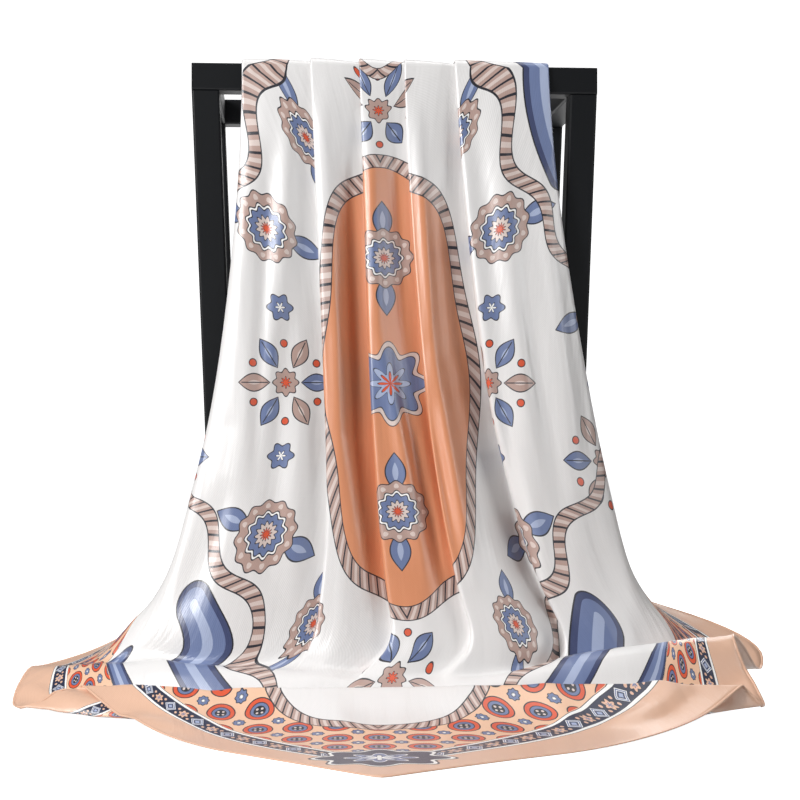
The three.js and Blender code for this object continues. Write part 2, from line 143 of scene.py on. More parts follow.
# Soft ridges and troughs of the fall, placed in the front view: from one point to another as
# (x, height) in mm, with a width and a depth towards the viewer. A trough has a negative depth.
fallCreases = [
    ((-130, 520), (-150, 250), 9, 2.6),
    ((-114, 500), (-128, 180), 7, -3.2),
    ((-98, 540), (-100, 330), 8, 2.6),
    ((-92, 420), (-118, 120), 10, -2.8),
    ((-68, 560), (-62, 330), 6, 2.2),
    ((-58, 500), (-54, 160), 6, 2.2),
    ((-43, 500), (-34, 150), 7, -3.6),
    ((-46, 240), (-30, 90), 7, 2.4),
    ((-25, 550), (-16, 270), 5.5, 3.0),
    ((-4, 540), (6, 300), 7, -2.6),
    ((-15, 330), (27, 95), 6.5, 4.2),
    ((-2, 300), (40, 95), 4, -3.4),
    ((16, 550), (33, 270), 5.5, 3.4),
    ((30, 320), (66, 105), 7, 3.6),
    ((24, 280), (50, 130), 5, -2.4),
    ((40, 470), (58, 300), 6, -2.2),
    ((68, 540), (92, 300), 7, -2.6),
    ((84, 320), (116, 110), 7, -3.6),
    ((88, 560), (120, 220), 8, 2.2),
    ((104, 430), (150, 130), 8, -3.2),
    ((126, 500), (160, 210), 8, 2.8),
    ((92, 260), (136, 90), 9, 3.2),
    ((-84, 280), (-96, 90), 10, 3.2),
    ((-150, 200), (-190, 80), 10, -2.2),
    ((160, 190), (200, 80), 9, -2.0),
]

# Soft ridges and troughs of the part on the floor, seen from above: (x, y) to (x, y), width, height
floorCreases = [
    ((-250, -95), (-150, -190), 12, 2.4),
    ((-205, -90), (-120, -175), 9, -1.8),
    ((-70, -150), (-40, -240), 14, 1.6),
    ((40, -150), (70, -235), 15, 1.5),
    ((110, -145), (150, -230), 12, 2.0),
    ((180, -120), (240, -170), 11, 2.2),
    ((-110, -100), (60, -112), 10, 3.0),
    ((-250, -20), (-190, -100), 12, 3.0),
    ((210, -60), (290, -100), 12, -3.0),
    ((232, -112), (325, -48), 9, 3.4),
    ((262, -128), (318, -88), 7, -2.8),
    ((-335, -40), (-262, -118), 9, 3.4),
    ((-300, -104), (-226, -150), 8, -2.8),
    ((150, -208), (232, -158), 10, 2.6),
    ((-232, -148), (-150, -216), 10, 2.6),
    ((196, -196), (250, -150), 7, -2.0),
]

scarf = {
    "side": 900,
    "thickness": 0.5,
    "railCorner": 2,
    "columnSize": 4.4,      # mesh spacing across the cloth
    "rowSize": 5.6,         # mesh spacing along the cloth
    "cornerHalfWidth": 6,
    "evenOut": 4,
    "shoulder": 0.4,
    "creaseDepth": 1.5,
    "floorLevel": 0.55,     # lowest place of the cloth's middle surface
    "hiddenMost": 60,       # most that the print is drawn in where the cloth is hidden
    "drawn": 0.93,          # share of a panel's length across that the print takes
    "sagRound": 0.07,
}
halfDiagonal = scarf["side"] / math.sqrt(2)


def splineMatrix(steps):
    # rows of weights that pull a smooth curve through a list of control points
    count = len(steps) + 2
    rows = []
    for span, stepCount in enumerate(steps, 1):
        for step in range(stepCount + (span == count - 2)):
            t = step / stepCount
            weights = np.zeros(count)
            startWeight = (1 - t) ** 2
            endWeight = t ** 2
            weights[span] += 2 * t * (1 - t)
            if span == 1:
                weights[0] += startWeight
            else:
                weights[[span - 1, span]] += startWeight / 2
            if span == count - 2:
                weights[span + 1] += endWeight
            else:
                weights[[span, span + 1]] += endWeight / 2
            rows.append(weights)
    return np.array(rows)


def smoothShare(values, share):
    # value at a share of the half width, through the five given ones with no overshoot
    values = np.array(values, float)
    widths = np.diff(shares)
    slopes = np.diff(values) / widths
    tangents = np.array([slopes[0], *[
        0 if a * b <= 0 else 2 * a * b / (a + b) for a, b in zip(slopes[:-1], slopes[1:])], slopes[-1]])
    k = np.clip(np.searchsorted(shares, share) - 1, 0, len(shares) - 2)
    t = (share - np.array(shares)[k]) / widths[k]
    rise = values[k + 1] - values[k]
    bend = (tangents[k] * widths[k] - rise) * (1 - t) + (rise - tangents[k + 1] * widths[k]) * t
    return values[k] + rise * t + t * (1 - t) * bend


def lineControls():
    # control lines as [level, line] arrays of x and out, with a fold opened into its five lines
    xs, outs, turns, hidden, drops = [], [], [], [], []
    centreLine = 0
    for line in foldLines:
        x = np.array(line["x"], float)
        out = np.array(line["out"], float)
        if "tuck" in line:
            back = np.array(line["back"], float)
            tuck = np.array(line["tuck"], float)
            depth = out - back
            xs += [x - 4, x + tuck, x + tuck, x - 0.5, x]
            outs += [back, back + 0.1 * depth, back + 0.42 * depth, back + 0.62 * depth, out]
            turns += [False, True, False, True, False]
            hidden += [0] * 5
            drops += [0] * 5
        else:
            if line.get("centre"):
                centreLine = len(xs)
            xs.append(x)
            outs.append(out)
            turns.append(line.get("turn", False))
            hidden.append(line.get("hidden", 0))
            drops.append(line.get("drop", 0))
    return np.array(xs).T, np.array(outs).T, turns, hidden, np.array(drops), centreLine


def rowShares(points, centre):
    # share of the half width of each point of a row, by its length along the row
    lengths = np.concatenate([[0], np.cumsum(np.linalg.norm(np.diff(points, axis=0), axis=1))])
    middle = lengths[centre]
    return np.where(lengths < middle, (lengths - middle) / middle, (lengths - middle) / (lengths[-1] - middle))


def roundTurns(points, turns):
    # adds a point close by on each side of a hairpin, so that it turns as a round roll
    result = []
    for i, point in enumerate(points):
        if turns[i]:
            result.append(shoulder(point, points[i - 1], points[i + 1]))
        result.append(point)
        if i and turns[i - 1]:
            result.append(shoulder(point, points[i + 1], points[i - 1]))
    return np.array(result)


def shoulder(point, neighbour, partner):
    # on a list of rows, each row's own gap sets how close its point lies
    gap = np.linalg.norm(point - partner, axis=-1, keepdims=True)
    leg = np.linalg.norm(point - neighbour, axis=-1, keepdims=True)
    reach = np.minimum(scarf["shoulder"], gap / np.maximum(leg, 0.01))
    return point + (neighbour - point) * reach


def spread(flags, turns):
    # the same list of flags with a place for each added shoulder
    result = []
    for i, flag in enumerate(flags):
        result += [flag] * (1 + turns[i] + (i > 0 and turns[i - 1]))
    return result


lineX, lineOut, lineTurns, lineHidden, lineDrops, centreLine = lineControls()
levelHeights = [level["height"] for level in fallLevels]


def frontControls():
    # control rows from the rail to the front corner: points, and the cloth's own places
    rows = [np.stack([lineX[i], -halfTube - lineOut[i], np.full(len(lineX[i]), height)], axis=1)
            for i, height in enumerate(levelHeights)]
    foot = rows[-1]
    foot[:, 2] -= lineDrops
    places = rowShares(foot, centreLine)
    picks = [int(np.argmin(np.abs(places - share))) for share in shares]
    plainFoot = np.stack([smoothShare(foot[picks, axis], places) for axis in range(3)], axis=1)
    for row in floorRows:
        plain = np.stack([smoothShare(row[axis], places) for axis in "xyz"], axis=1)
        points = plain + (foot - plainFoot) * row["pleats"]
        points[:, 2] = np.maximum(points[:, 2], scarf["floorLevel"])
        rows.append(points)
    return rows


def backControls(barRow, neckRow):
    places = rowShares(barRow, centreLine)
    side = barRow[:, 0].max()
    rows = [np.stack([barRow[:, 0], -barRow[:, 1], barRow[:, 2]], axis=1)]
    for level in backLevels:
        halfWidth = scarf["cornerHalfWidth"] + (side - scarf["cornerHalfWidth"]) * level["width"]
        folded = barRow[:, 0] / side * halfWidth
        out = -barRow[:, 1] + (barRow[:, 1] - neckRow[:, 1]) * level["deep"]
        out = out + (halfTube + scarf["evenOut"] - out) * level["even"]
        x = folded + (places * halfWidth - folded) * level["open"]
        rows.append(np.stack([x, out, np.full(len(x), level["height"])], axis=1))
    return rows


def columnSteps(controls):
    # mesh steps for each span across, from how long the control lines' gaps are on average
    gaps = np.mean([np.linalg.norm(np.diff(row, axis=0), axis=1) for row in controls[1:6]], axis=0)
    spans = (gaps[:-1] + gaps[1:]) / 2
    return [max(3, round(span / scarf["columnSize"])) for span in spans]


def rowSteps(controls, middle):
    gaps = [np.linalg.norm(b[middle] - a[middle]) for a, b in zip(controls[:-1], controls[1:])]
    return [max(3, round((a + b) / 2 / scarf["rowSize"])) for a, b in zip(gaps[:-1], gaps[1:])]


def railRows(barRow):
    # rows that wrap the cloth over the rail, from its front face to its back face
    corner = scarf["railCorner"]
    steps = 5
    rows = []
    for centre, first in ((corner - halfTube, math.pi), (halfTube - corner, math.pi / 2)):
        for i in range(steps + 1):
            angle = first - math.pi / 2 * i / steps
            radius = corner - halfTube - barRow[:, 1]
            rows.append(np.stack([barRow[:, 0], centre + radius * math.cos(angle),
                                  railTop - corner + radius * math.sin(angle)], axis=1))
        if first == math.pi:
            for share in (0.25, 0.5, 0.75):
                row = rows[-1].copy() if share == 0.25 else rows[-1].copy()
                row[:, 1] = (corner - halfTube) + (2 * (halfTube - corner)) * share
                rows.append(row)
    return rows


def scarfGrid():
    # the whole cloth as a grid of points from the front corner to the back corner
    front = [roundTurns(row, lineTurns) for row in frontControls()]
    across = splineMatrix(columnSteps(front))
    hidden = across @ np.array(spread(lineHidden, lineTurns), float)
    front = [across @ row for row in front]
    centre = int(np.argmin(np.abs(across @ np.arange(across.shape[1]) - centreControl())))

    rowTurns = [False] * len(fallLevels) + [row.get("turn", False) for row in floorRows]
    controls = roundTurns(front, rowTurns)
    facts = np.array([[row["centre"], row["left"], row["right"], row.get("shift", 0), row["sag"]]
                      for row in fallLevels + floorRows], float)
    facts = np.repeat(facts, [1 + turn + (i > 0 and rowTurns[i - 1]) for i, turn in enumerate(rowTurns)], axis=0)
    along = splineMatrix(rowSteps(controls, centre))
    frontRows = np.einsum("rk,kcx->rcx", along, controls)
    frontFacts = along @ facts

    bar = front[0]
    rail = np.array(railRows(bar))
    railFacts = clothFacts(rail[:, centre], 924)
    backRows = [across @ roundTurns(row, lineTurns) for row in backControls(
        frontControls()[0], frontControls()[1])]
    backAlong = splineMatrix(rowSteps(backRows, centre))
    back = np.einsum("rk,kcx->rcx", backAlong, np.array(backRows))
    wBack = np.array([railFacts[-1, 0], *[level["centre"] for level in backLevels]])
    backCentre = backAlong @ wBack
    backFacts = np.stack([backCentre, backCentre, backCentre, np.linspace(3, 0, len(backCentre)),
                          np.linspace(-84, 0, len(backCentre))], axis=1)

    rows = np.concatenate([frontRows[::-1], rail[1:-1], back])
    facts = np.concatenate([frontFacts[::-1], railFacts[1:-1], backFacts])
    return rows, facts, hidden, centre


def centreControl():
    return spread(list(range(len(lineTurns))), lineTurns).index(centreLine)


def clothFacts(middle, start):
    # how far the rail's rows lie along the cloth
    lengths = np.concatenate([[0], np.cumsum(np.linalg.norm(np.diff(middle, axis=0), axis=1))])
    along = start + lengths
    return np.stack([along, along, along, np.full(len(along), 3.0), np.full(len(along), -84.0)], axis=1)


def clothPlaces(rows, facts, hidden, centre):
    # the flat cloth's own coordinates of each point: across from the diagonal, and along it
    gaps = np.linalg.norm(np.diff(rows, axis=1), axis=2)
    cover = (hidden[:-1] + hidden[1:]) / 2
    across = np.zeros(rows.shape[:2])
    for side, columns in ((-1, slice(0, centre)), (1, slice(centre, None))):
        edge = halfDiagonal - np.abs(facts[:, 1 if side < 0 else 2] - halfDiagonal)
        need = edge - side * facts[:, 3]
        length = gaps[:, columns] * scarf["drawn"]
        share = cover[columns]
        seen = (length * (1 - share)).sum(axis=1)
        unseen = (length * share).sum(axis=1)
        stretch = np.clip((need - seen) / np.maximum(unseen, 0.01), 1, scarf["hiddenMost"])
        steps = length * (1 + share * (stretch[:, None] - 1))
        steps *= (need / steps.sum(axis=1))[:, None]
        if side < 0:
            across[:, :centre] = -np.cumsum(steps[:, ::-1], axis=1)[:, ::-1]
        else:
            across[:, centre + 1:] = np.cumsum(steps, axis=1)
    across += facts[:, 3:4]
    left = halfDiagonal - np.abs(facts[:, 1] - halfDiagonal)
    right = halfDiagonal - np.abs(facts[:, 2] - halfDiagonal)
    u = np.where(across < 0, across / left[:, None], across / right[:, None])
    edgeAlong = np.where(across < 0, facts[:, 1:2], facts[:, 2:3])
    # the sag is largest a third of the way out, and round at the middle
    share = u ** 2 / (np.abs(u) + scarf["sagRound"])
    along = facts[:, 0:1] + (edgeAlong - facts[:, 0:1]) * u ** 2 + facts[:, 4:5] * 6.75 * share * (1 - share) ** 2
    return across, along


def creaseField(first, second, creases):
    # sum of soft ridges and troughs over a plane
    field = np.zeros(first.shape)
    for start, end, width, depth in creases:
        run = (end[0] - start[0], end[1] - start[1])
        length = math.hypot(*run)
        t = ((first - start[0]) * run[0] + (second - start[1]) * run[1]) / length ** 2
        away = ((first - start[0]) * run[1] - (second - start[1]) * run[0]) / length
        fade = np.sin(math.pi * np.clip(t, 0, 1)) ** 0.7
        field += depth * scarf["creaseDepth"] * np.exp(-(away / width) ** 2) * fade
    return field


def smoothStep(low, high, value):
    t = np.clip((value - low) / (high - low), 0, 1)
    return t * t * (3 - 2 * t)


def addCreases(rows):
    # the fall's creases move the cloth towards the viewer, and the floor's lift it
    x, y, z = rows[..., 0], rows[..., 1], rows[..., 2]
    inFront = smoothStep(halfTube + 2, halfTube + 14, -y)
    onFall = smoothStep(62, 100, z) * inFront
    rows[..., 1] -= creaseField(x, z, fallCreases) * onFall
    onFloor = (1 - smoothStep(62, 100, z)) * smoothStep(3, 10, z)
    lift = creaseField(x, y, floorCreases) * onFloor
    rows[..., 2] = np.maximum(z + lift, scarf["floorLevel"])
    return rows


def gridMesh(name, points, closed=False):
    # a sheet of quads from a grid of points, in metres
    height, width = points.shape[:2]
    index = np.arange(height * width).reshape(height, width)
    if closed:
        index = np.concatenate([index, index[:, :1]], axis=1)
    faces = np.stack([index[:-1, :-1], index[1:, :-1], index[1:, 1:], index[:-1, 1:]], axis=-1)
    mesh = bpy.data.meshes.new(name)
    mesh.from_pydata(points.reshape(-1, 3).tolist(), [], faces.reshape(-1, 4).tolist())
    mesh.update()
    piece = bpy.data.objects.new(name, mesh)
    bpy.context.scene.collection.objects.link(piece)
    return piece


def inFrame(points):
    # from mm at the rail to metres in the frame
    return (points + np.array([railX, railY, 0])) * mm


rows, facts, hidden, centre = scarfGrid()
across, along = clothPlaces(rows, facts, hidden, centre)
rows = addCreases(rows)
sheet = gridMesh("scarf", inFrame(rows)[:, ::-1])
uv = sheet.data.uv_layers.new(name="cloth")
corners = np.zeros(len(sheet.data.loops), int)
sheet.data.loops.foreach_get("vertex_index", corners)
flat = np.stack([across[:, ::-1].ravel() / (2 * halfDiagonal) + 0.5, along[:, ::-1].ravel() / (2 * halfDiagonal)],
                axis=1)
uv.data.foreach_set("uv", flat[corners].ravel())
bpy.context.view_layer.objects.active = sheet
sheet.select_set(True)
bpy.ops.object.shade_smooth()
thick = sheet.modifiers.new("thickness", "SOLIDIFY")
thick.thickness = scarf["thickness"] * mm
thick.offset = 0
bpy.ops.object.modifier_apply(modifier=thick.name)
sheet.select_set(False)
print("scarf sheet:", rows.shape[0], "by", rows.shape[1], "points,", len(sheet.data.polygons), "faces")

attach(sheet, "root")
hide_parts("front_fall", "over_rail", "back_fall", "floor_spread")


# Rolled hem, a slim roll all round the edge

hem = {"width": 2.6, "thick": 1.5, "sides": 8, "floorLevel": 0.8}
stitch = {"step": 5, "length": 2.6, "width": 0.5, "thick": 1.3, "sides": 6, "slant": 0.7}


def hemRing(rows):
    # the cloth's edge as one closed line, with the direction into the cloth and its normal
    left, right = rows[:, 0], rows[:, -1]
    line = np.concatenate([left, rows[-1, 1:-1], right[::-1], rows[0, 1:-1][::-1]])
    inner = np.concatenate([rows[:, 1], rows[-2, 1:-1], rows[::-1, -2], rows[1, 1:-1][::-1]])
    return line, inner


def hemDirections(rows):
    # the edge line with its own direction, the direction into the cloth and the cloth's normal
    line, inner = hemRing(rows)
    tangent = np.roll(line, -1, axis=0) - np.roll(line, 1, axis=0)
    tangent /= np.linalg.norm(tangent, axis=1, keepdims=True)
    inward = inner - line
    inward -= tangent * (inward * tangent).sum(axis=1, keepdims=True)
    inward /= np.linalg.norm(inward, axis=1, keepdims=True)
    for _ in range(3):
        inward = (np.roll(inward, 1, axis=0) + inward + np.roll(inward, -1, axis=0)) / 3
        inward /= np.linalg.norm(inward, axis=1, keepdims=True)
    return line, tangent, inward, np.cross(tangent, inward)


def makeHem(line, inward, normal):
    middle = line + inward * hem["width"] / 2
    middle[:, 2] = np.maximum(middle[:, 2], hem["floorLevel"])
    rings = []
    for side in range(hem["sides"]):
        angle = 2 * math.pi * side / hem["sides"]
        rings.append(middle + inward * hem["width"] / 2 * math.cos(angle)
                     + normal * hem["thick"] / 2 * math.sin(angle))
    points = np.stack(rings, axis=1)
    points = np.concatenate([points, points[:1]])
    return gridMesh("rolled_hem", inFrame(points), closed=True)


def makeStitches(line, tangent, inward, normal):
    # slanted hand stitches that hold the roll down, as spindles that show on both faces
    lengths = np.concatenate([[0], np.cumsum(np.linalg.norm(np.diff(line, axis=0), axis=1))])
    places = np.arange(stitch["step"] / 2, lengths[-1], stitch["step"])
    picked = [np.stack([np.interp(places, lengths, values[:, axis]) for axis in range(3)], axis=1)
              for values in (line, tangent, inward, normal)]
    middle = picked[0] + picked[2] * hem["width"]
    middle[:, 2] = np.maximum(middle[:, 2], hem["floorLevel"])
    direction = picked[1] * stitch["slant"] + picked[2]
    direction /= np.linalg.norm(direction, axis=1, keepdims=True)
    aside = np.cross(direction, picked[3])
    points, faces = [], []
    for place, way, side, up in zip(middle, direction, aside, picked[3]):
        first = len(points)
        points.append(place - way * stitch["length"] / 2)
        for i in range(stitch["sides"]):
            angle = 2 * math.pi * i / stitch["sides"]
            points.append(place + side * stitch["width"] / 2 * math.cos(angle)
                          + up * stitch["thick"] / 2 * math.sin(angle))
        points.append(place + way * stitch["length"] / 2)
        last = len(points) - 1
        for i in range(stitch["sides"]):
            here = first + 1 + i
            there = first + 1 + (i + 1) % stitch["sides"]
            faces += [(first, there, here), (last, here, there)]
    mesh = bpy.data.meshes.new("hem_stitches")
    mesh.from_pydata(inFrame(np.array(points)).tolist(), [], faces)
    mesh.update()
    piece = bpy.data.objects.new("hem_stitches", mesh)
    bpy.context.scene.collection.objects.link(piece)
    return piece


def closePiece(piece):
    # merges doubles, turns the faces outwards and shades the piece smooth
    bpy.context.view_layer.objects.active = piece
    piece.select_set(True)
    bpy.ops.object.mode_set(mode="EDIT")
    bpy.ops.mesh.select_all(action="SELECT")
    bpy.ops.mesh.remove_doubles(threshold=0.00001)
    bpy.ops.mesh.normals_make_consistent(inside=False)
    bpy.ops.object.mode_set(mode="OBJECT")
    bpy.ops.object.shade_smooth()
    piece.select_set(False)
    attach(piece, "root")


edge, edgeWay, edgeInward, edgeNormal = hemDirections(rows)
hemPiece = makeHem(edge, edgeInward, edgeNormal)
stitches = makeStitches(edge, edgeWay, edgeInward, edgeNormal)
closePiece(hemPiece)
closePiece(stitches)
print("rolled hem:", len(hemPiece.data.polygons), "faces, stitches:", len(stitches.data.polygons), "faces")


# Materials

def linear(hexColour):
    # sRGB hex to linear
    values = [int(hexColour[i:i + 2], 16) / 255 for i in (1, 3, 5)]
    return [v / 12.92 if v <= 0.04045 else ((v + 0.055) / 1.055) ** 2.4 for v in values] + [1]


def addNode(tree, kind, *values, **settings):
    # adds a node, sets it up, and links or fills its inputs in order; gives its output
    node = tree.nodes.new("ShaderNode" + kind)
    for key, value in settings.items():
        setattr(node, key, value)
    for socket, value in zip([socket for socket in node.inputs if socket.enabled], values):
        if isinstance(value, bpy.types.NodeSocket):
            tree.links.new(value, socket)
        else:
            socket.default_value = value
    return next(socket for socket in node.outputs if socket.enabled)


satin = {
    "ground": "#eae8e7",
    "peach": "#e6bba0",
    "field": "#f0c4a4",
    "terracotta": "#dd9269",
    "navy": "#232a45",
    "slate": "#6d7ca4",
    "slateLight": "#a8b4d1",
    "slateDeep": "#3c456b",
    "taupe": "#b99c92",
    "taupeLight": "#dccbc4",
    "outline": "#22222c",
    "accent": "#dd5733",
    "white": "#fbfaf8",
    "roughness": 0.31,
}

# The border's bands from the hem inward, as (how far in a colour ends in mm, colour)
borderBands = [(28.4, "peach"), (29, "outline"), (31.2, "white"), (31.8, "outline"), (46.2, "navy"),
               (46.8, "outline"), (49.2, "white"), (49.8, "outline"), (122, "field"), (122.8, "outline")]
straps = [
    {"fromEdge": 134, "rings": [(2.2, "slateLight"), (7.4, "slate"), (10, "slateDeep"), (11, "outline")]},
    {"fromEdge": 192.5, "rings": [(3, "slateLight"), (10, "slate"), (13.4, "slateDeep"), (14.4, "outline")]},
]
pattern = {
    "lattice": 30,          # spacing of the border's round motifs
    "bandStep": 36,         # spacing of the navy band's diamonds
    "strapEnd": 33,         # how far the straps reach past the middle of a side
    "cornerDisc": 370,      # the white discs' places and size
    "discRadius": 90,
    "palmette": 560,
    "palmetteWide": 0.5,
    "palmetteLong": 0.72,
    "ropeFrame": 222,       # how far in the wavy rope frame runs
    "ropeWave": 76,
    "ropeSwing": 6,
    "medallionWidth": 101,
    "medallionHeight": 194,
    "cellWidth": 100,       # spacing of the motifs on the white ground
    "cellHeight": 118,
    "firstCell": 160,
    "bloomLean": 0.4,
    "innerBlooms": 112,     # how far the medallion's blooms lie from its middle
    "motifReach": 125,      # motifs of the rows lie no further than this from the middle line
    "starReach": 100,
    "topSpray": 246,
    "smallBloom": 0.66,     # size of the small blooms against the large ones
    "smallUp": 180,
    "smallAside": 104,
}


weave = {"wrinkleWidth": 16, "wrinkleLength": 150, "wrinkleDepth": 0.9, "ribStep": 1.1, "ribDepth": 0.05}


def addRings(tree, distance, rings):
    # colours by distance, each up to its own limit in mm
    reach = rings[-1][0]
    ramp = addNode(tree, "ValToRGB", addNode(tree, "Math", distance, reach, operation="DIVIDE"))
    colours = ramp.node.color_ramp
    colours.interpolation = "CONSTANT"
    colours.elements.remove(colours.elements[-1])
    colours.elements[0].color = linear(satin[rings[0][1]])
    for (limit, _), (_, colour) in zip(rings[:-1], rings[1:]):
        colours.elements.new(limit / reach).color = linear(satin[colour])
    return ramp


def addDistance(tree, x, y):
    return addNode(tree, "VectorMath", addNode(tree, "CombineXYZ", x, y), operation="LENGTH")


def addPetals(tree, x, y, count, depth):
    # distance from the middle of a flower, in and out by depth for its petals, and the angle
    angle = addNode(tree, "Math", y, x, operation="ARCTAN2")
    wave = addNode(tree, "Math", addNode(tree, "Math", angle, count, operation="MULTIPLY"), operation="COSINE")
    return addNode(tree, "Math", wave, -depth, addDistance(tree, x, y), operation="MULTIPLY_ADD"), angle


def layRings(tree, below, distance, rings):
    # rings over what lies below, up to the last ring's limit
    inside = addNode(tree, "Math", distance, rings[-1][0], operation="LESS_THAN")
    return addNode(tree, "Mix", inside, below, addRings(tree, distance, rings), data_type="RGBA")


def layRope(tree, below, across, along, width, twist):
    # a twisted rope between dark outlines
    lean = addNode(tree, "Math", across, 0.75, along, operation="MULTIPLY_ADD")
    strand = addNode(tree, "Math", addNode(tree, "Math", lean, 1 / twist, operation="MULTIPLY"),
                     operation="FRACT")
    strands = addRings(tree, strand, [(0.16, "outline"), (0.4, "taupe"), (0.7, "taupeLight"), (1, "taupe")])
    away = addNode(tree, "Math", across, operation="ABSOLUTE")
    core = addNode(tree, "Math", away, width / 2, operation="LESS_THAN")
    edge = addNode(tree, "Math", away, width / 2 + 0.9, operation="LESS_THAN")
    outlined = addNode(tree, "Mix", edge, below, linear(satin["outline"]), data_type="RGBA")
    return addNode(tree, "Mix", core, outlined, strands, data_type="RGBA")


def addStraps(tree, below, flat):
    # two straps along the part of each side that's next to the front or back corner, with round ends
    past = addNode(tree, "Math", flat["run"], pattern["strapEnd"], operation="SUBTRACT")
    past = addNode(tree, "Math", past, 0, operation="MAXIMUM")
    colour = below
    for strap in straps:
        off = addNode(tree, "Math", flat["fromEdge"], strap["fromEdge"], operation="SUBTRACT")
        colour = layRings(tree, colour, addDistance(tree, past, off), strap["rings"])
    return colour


def addFoulard(tree, below, flat):
    # round motifs on a square lattice, with small flowers between them
    half = pattern["lattice"] / 2
    x = addNode(tree, "Math", flat["p"], half, operation="PINGPONG")
    y = addNode(tree, "Math", flat["fromCorner"], half, operation="PINGPONG")
    rings = addRings(tree, addDistance(tree, x, y), [
        (4.6, "outline"), (6.9, "slate"), (7.6, "outline"), (10.6, "accent"), (11.5, "outline"), (30, "field")])
    spot = addDistance(tree, addNode(tree, "Math", x, 1.9, operation="SUBTRACT"),
                       addNode(tree, "Math", y, 1.9, operation="SUBTRACT"))
    rings = layRings(tree, rings, spot, [(1.05, "taupeLight")])
    flower, _ = addPetals(tree, addNode(tree, "Math", half, x, operation="SUBTRACT"),
                          addNode(tree, "Math", half, y, operation="SUBTRACT"), 8, 0.45)
    rings = layRings(tree, rings, flower, [(1.2, "white"), (1.8, "outline"), (4.2, "slate"), (5, "outline")])
    inside = addNode(tree, "Math", flat["fromEdge"], 86, 35.6, operation="COMPARE")
    return addNode(tree, "Mix", inside, below, rings, data_type="RGBA")


def addBand(tree, below, flat):
    # diamonds and small flowers along the navy band
    half = pattern["bandStep"] / 2
    along = addNode(tree, "Math", flat["run"], half, operation="PINGPONG")
    y = addNode(tree, "Math", flat["fromEdge"], 39, operation="SUBTRACT")
    away = addNode(tree, "Math", y, operation="ABSOLUTE")
    diamond = addNode(tree, "Math", away, 1.1, along, operation="MULTIPLY_ADD")
    colour = addRings(tree, diamond, [(2.4, "slateLight"), (4.4, "slateDeep"), (5.3, "white"), (6.6, "slate"),
                                      (7.4, "white"), (40, "navy")])
    x = addNode(tree, "Math", half, along, operation="SUBTRACT")
    flower, _ = addPetals(tree, x, y, 6, 1.1)
    colour = layRings(tree, colour, flower, [(1.6, "slate"), (4.4, "peach"), (5.2, "outline")])
    bud = addDistance(tree, addNode(tree, "Math", along, 10, operation="SUBTRACT"),
                      addNode(tree, "Math", away, 3.2, operation="SUBTRACT"))
    colour = layRings(tree, colour, bud, [(1.5, "peach")])
    inside = addNode(tree, "Math", flat["fromEdge"], 39, 7, operation="COMPARE")
    return addNode(tree, "Mix", inside, below, colour, data_type="RGBA")


def addCorner(tree, below, flat):
    # a white disc in a rope ring that bites into each corner of the border, and a palmette near the tip
    x = addNode(tree, "Math", flat["major"], pattern["cornerDisc"], operation="SUBTRACT")
    distance = addDistance(tree, x, flat["minor"])
    colour = layRings(tree, below, distance, [(pattern["discRadius"], "ground")])
    across = addNode(tree, "Math", distance, pattern["discRadius"], operation="SUBTRACT")
    turned = addNode(tree, "Math", flat["minor"], x, operation="ARCTAN2")
    along = addNode(tree, "Math", turned, pattern["discRadius"], operation="MULTIPLY")
    colour = layRope(tree, colour, across, along, 9, 9)
    x = addNode(tree, "Math", flat["major"], pattern["palmette"], operation="SUBTRACT")
    x = addNode(tree, "Math", x, pattern["palmetteLong"], operation="MULTIPLY")
    y = addNode(tree, "Math", flat["minor"], pattern["palmetteWide"], operation="MULTIPLY")
    fan, _ = addPetals(tree, x, y, 8, 2.6)
    return layRings(tree, colour, fan, [(4, "white"), (5, "outline"), (9, "slate"), (10, "white"), (20, "navy"),
                                        (21.5, "white"), (22.5, "outline")])


def addSprays(tree, below, x, y):
    # six leaves round a small flower, with berries between the leaves
    distance = addDistance(tree, x, y)
    flower, angle = addPetals(tree, x, y, 8, 1.3)
    turned = addNode(tree, "Math", angle, math.pi / 6, operation="PINGPONG")
    out = addNode(tree, "Math", distance, addNode(tree, "Math", turned, operation="COSINE"),
                  operation="MULTIPLY")
    side = addNode(tree, "Math", distance, addNode(tree, "Math", turned, operation="SINE"),
                   operation="MULTIPLY")
    share = addNode(tree, "MapRange", out, 13.0, 40.0, 0.0, math.pi)
    leaf = addNode(tree, "Math", addNode(tree, "Math", share, operation="SINE"), -7.5, side,
                   operation="MULTIPLY_ADD")
    leaf = addNode(tree, "Math", leaf, 8, operation="ADD")
    slate = layRings(tree, below, leaf, [(2.2, "slateLight"), (7, "slate"), (8, "outline")])
    taupe = layRings(tree, below, leaf, [(2.2, "taupeLight"), (7, "taupe"), (8, "outline")])
    odd = addNode(tree, "Math", addNode(tree, "Math", angle, 3, operation="MULTIPLY"), operation="COSINE")
    odd = addNode(tree, "Math", odd, 0, operation="GREATER_THAN")
    colour = addNode(tree, "Mix", odd, slate, taupe, data_type="RGBA")
    vein = addNode(tree, "Math", side, 0.45, operation="LESS_THAN")
    vein = addNode(tree, "Math", vein, addNode(tree, "Math", out, 26, 11, operation="COMPARE"),
                   operation="MULTIPLY")
    colour = addNode(tree, "Mix", vein, colour, linear(satin["outline"]), data_type="RGBA")
    off = addNode(tree, "Math", addNode(tree, "Math", math.pi / 6, turned, operation="SUBTRACT"), 31,
                  operation="MULTIPLY")
    berry = addDistance(tree, off, addNode(tree, "Math", distance, 31, operation="SUBTRACT"))
    colour = layRings(tree, colour, berry, [(2.6, "accent"), (3.4, "outline")])
    return layRings(tree, colour, flower, [(3, "accent"), (3.8, "outline"), (9.4, "taupe"), (10.4, "outline")])


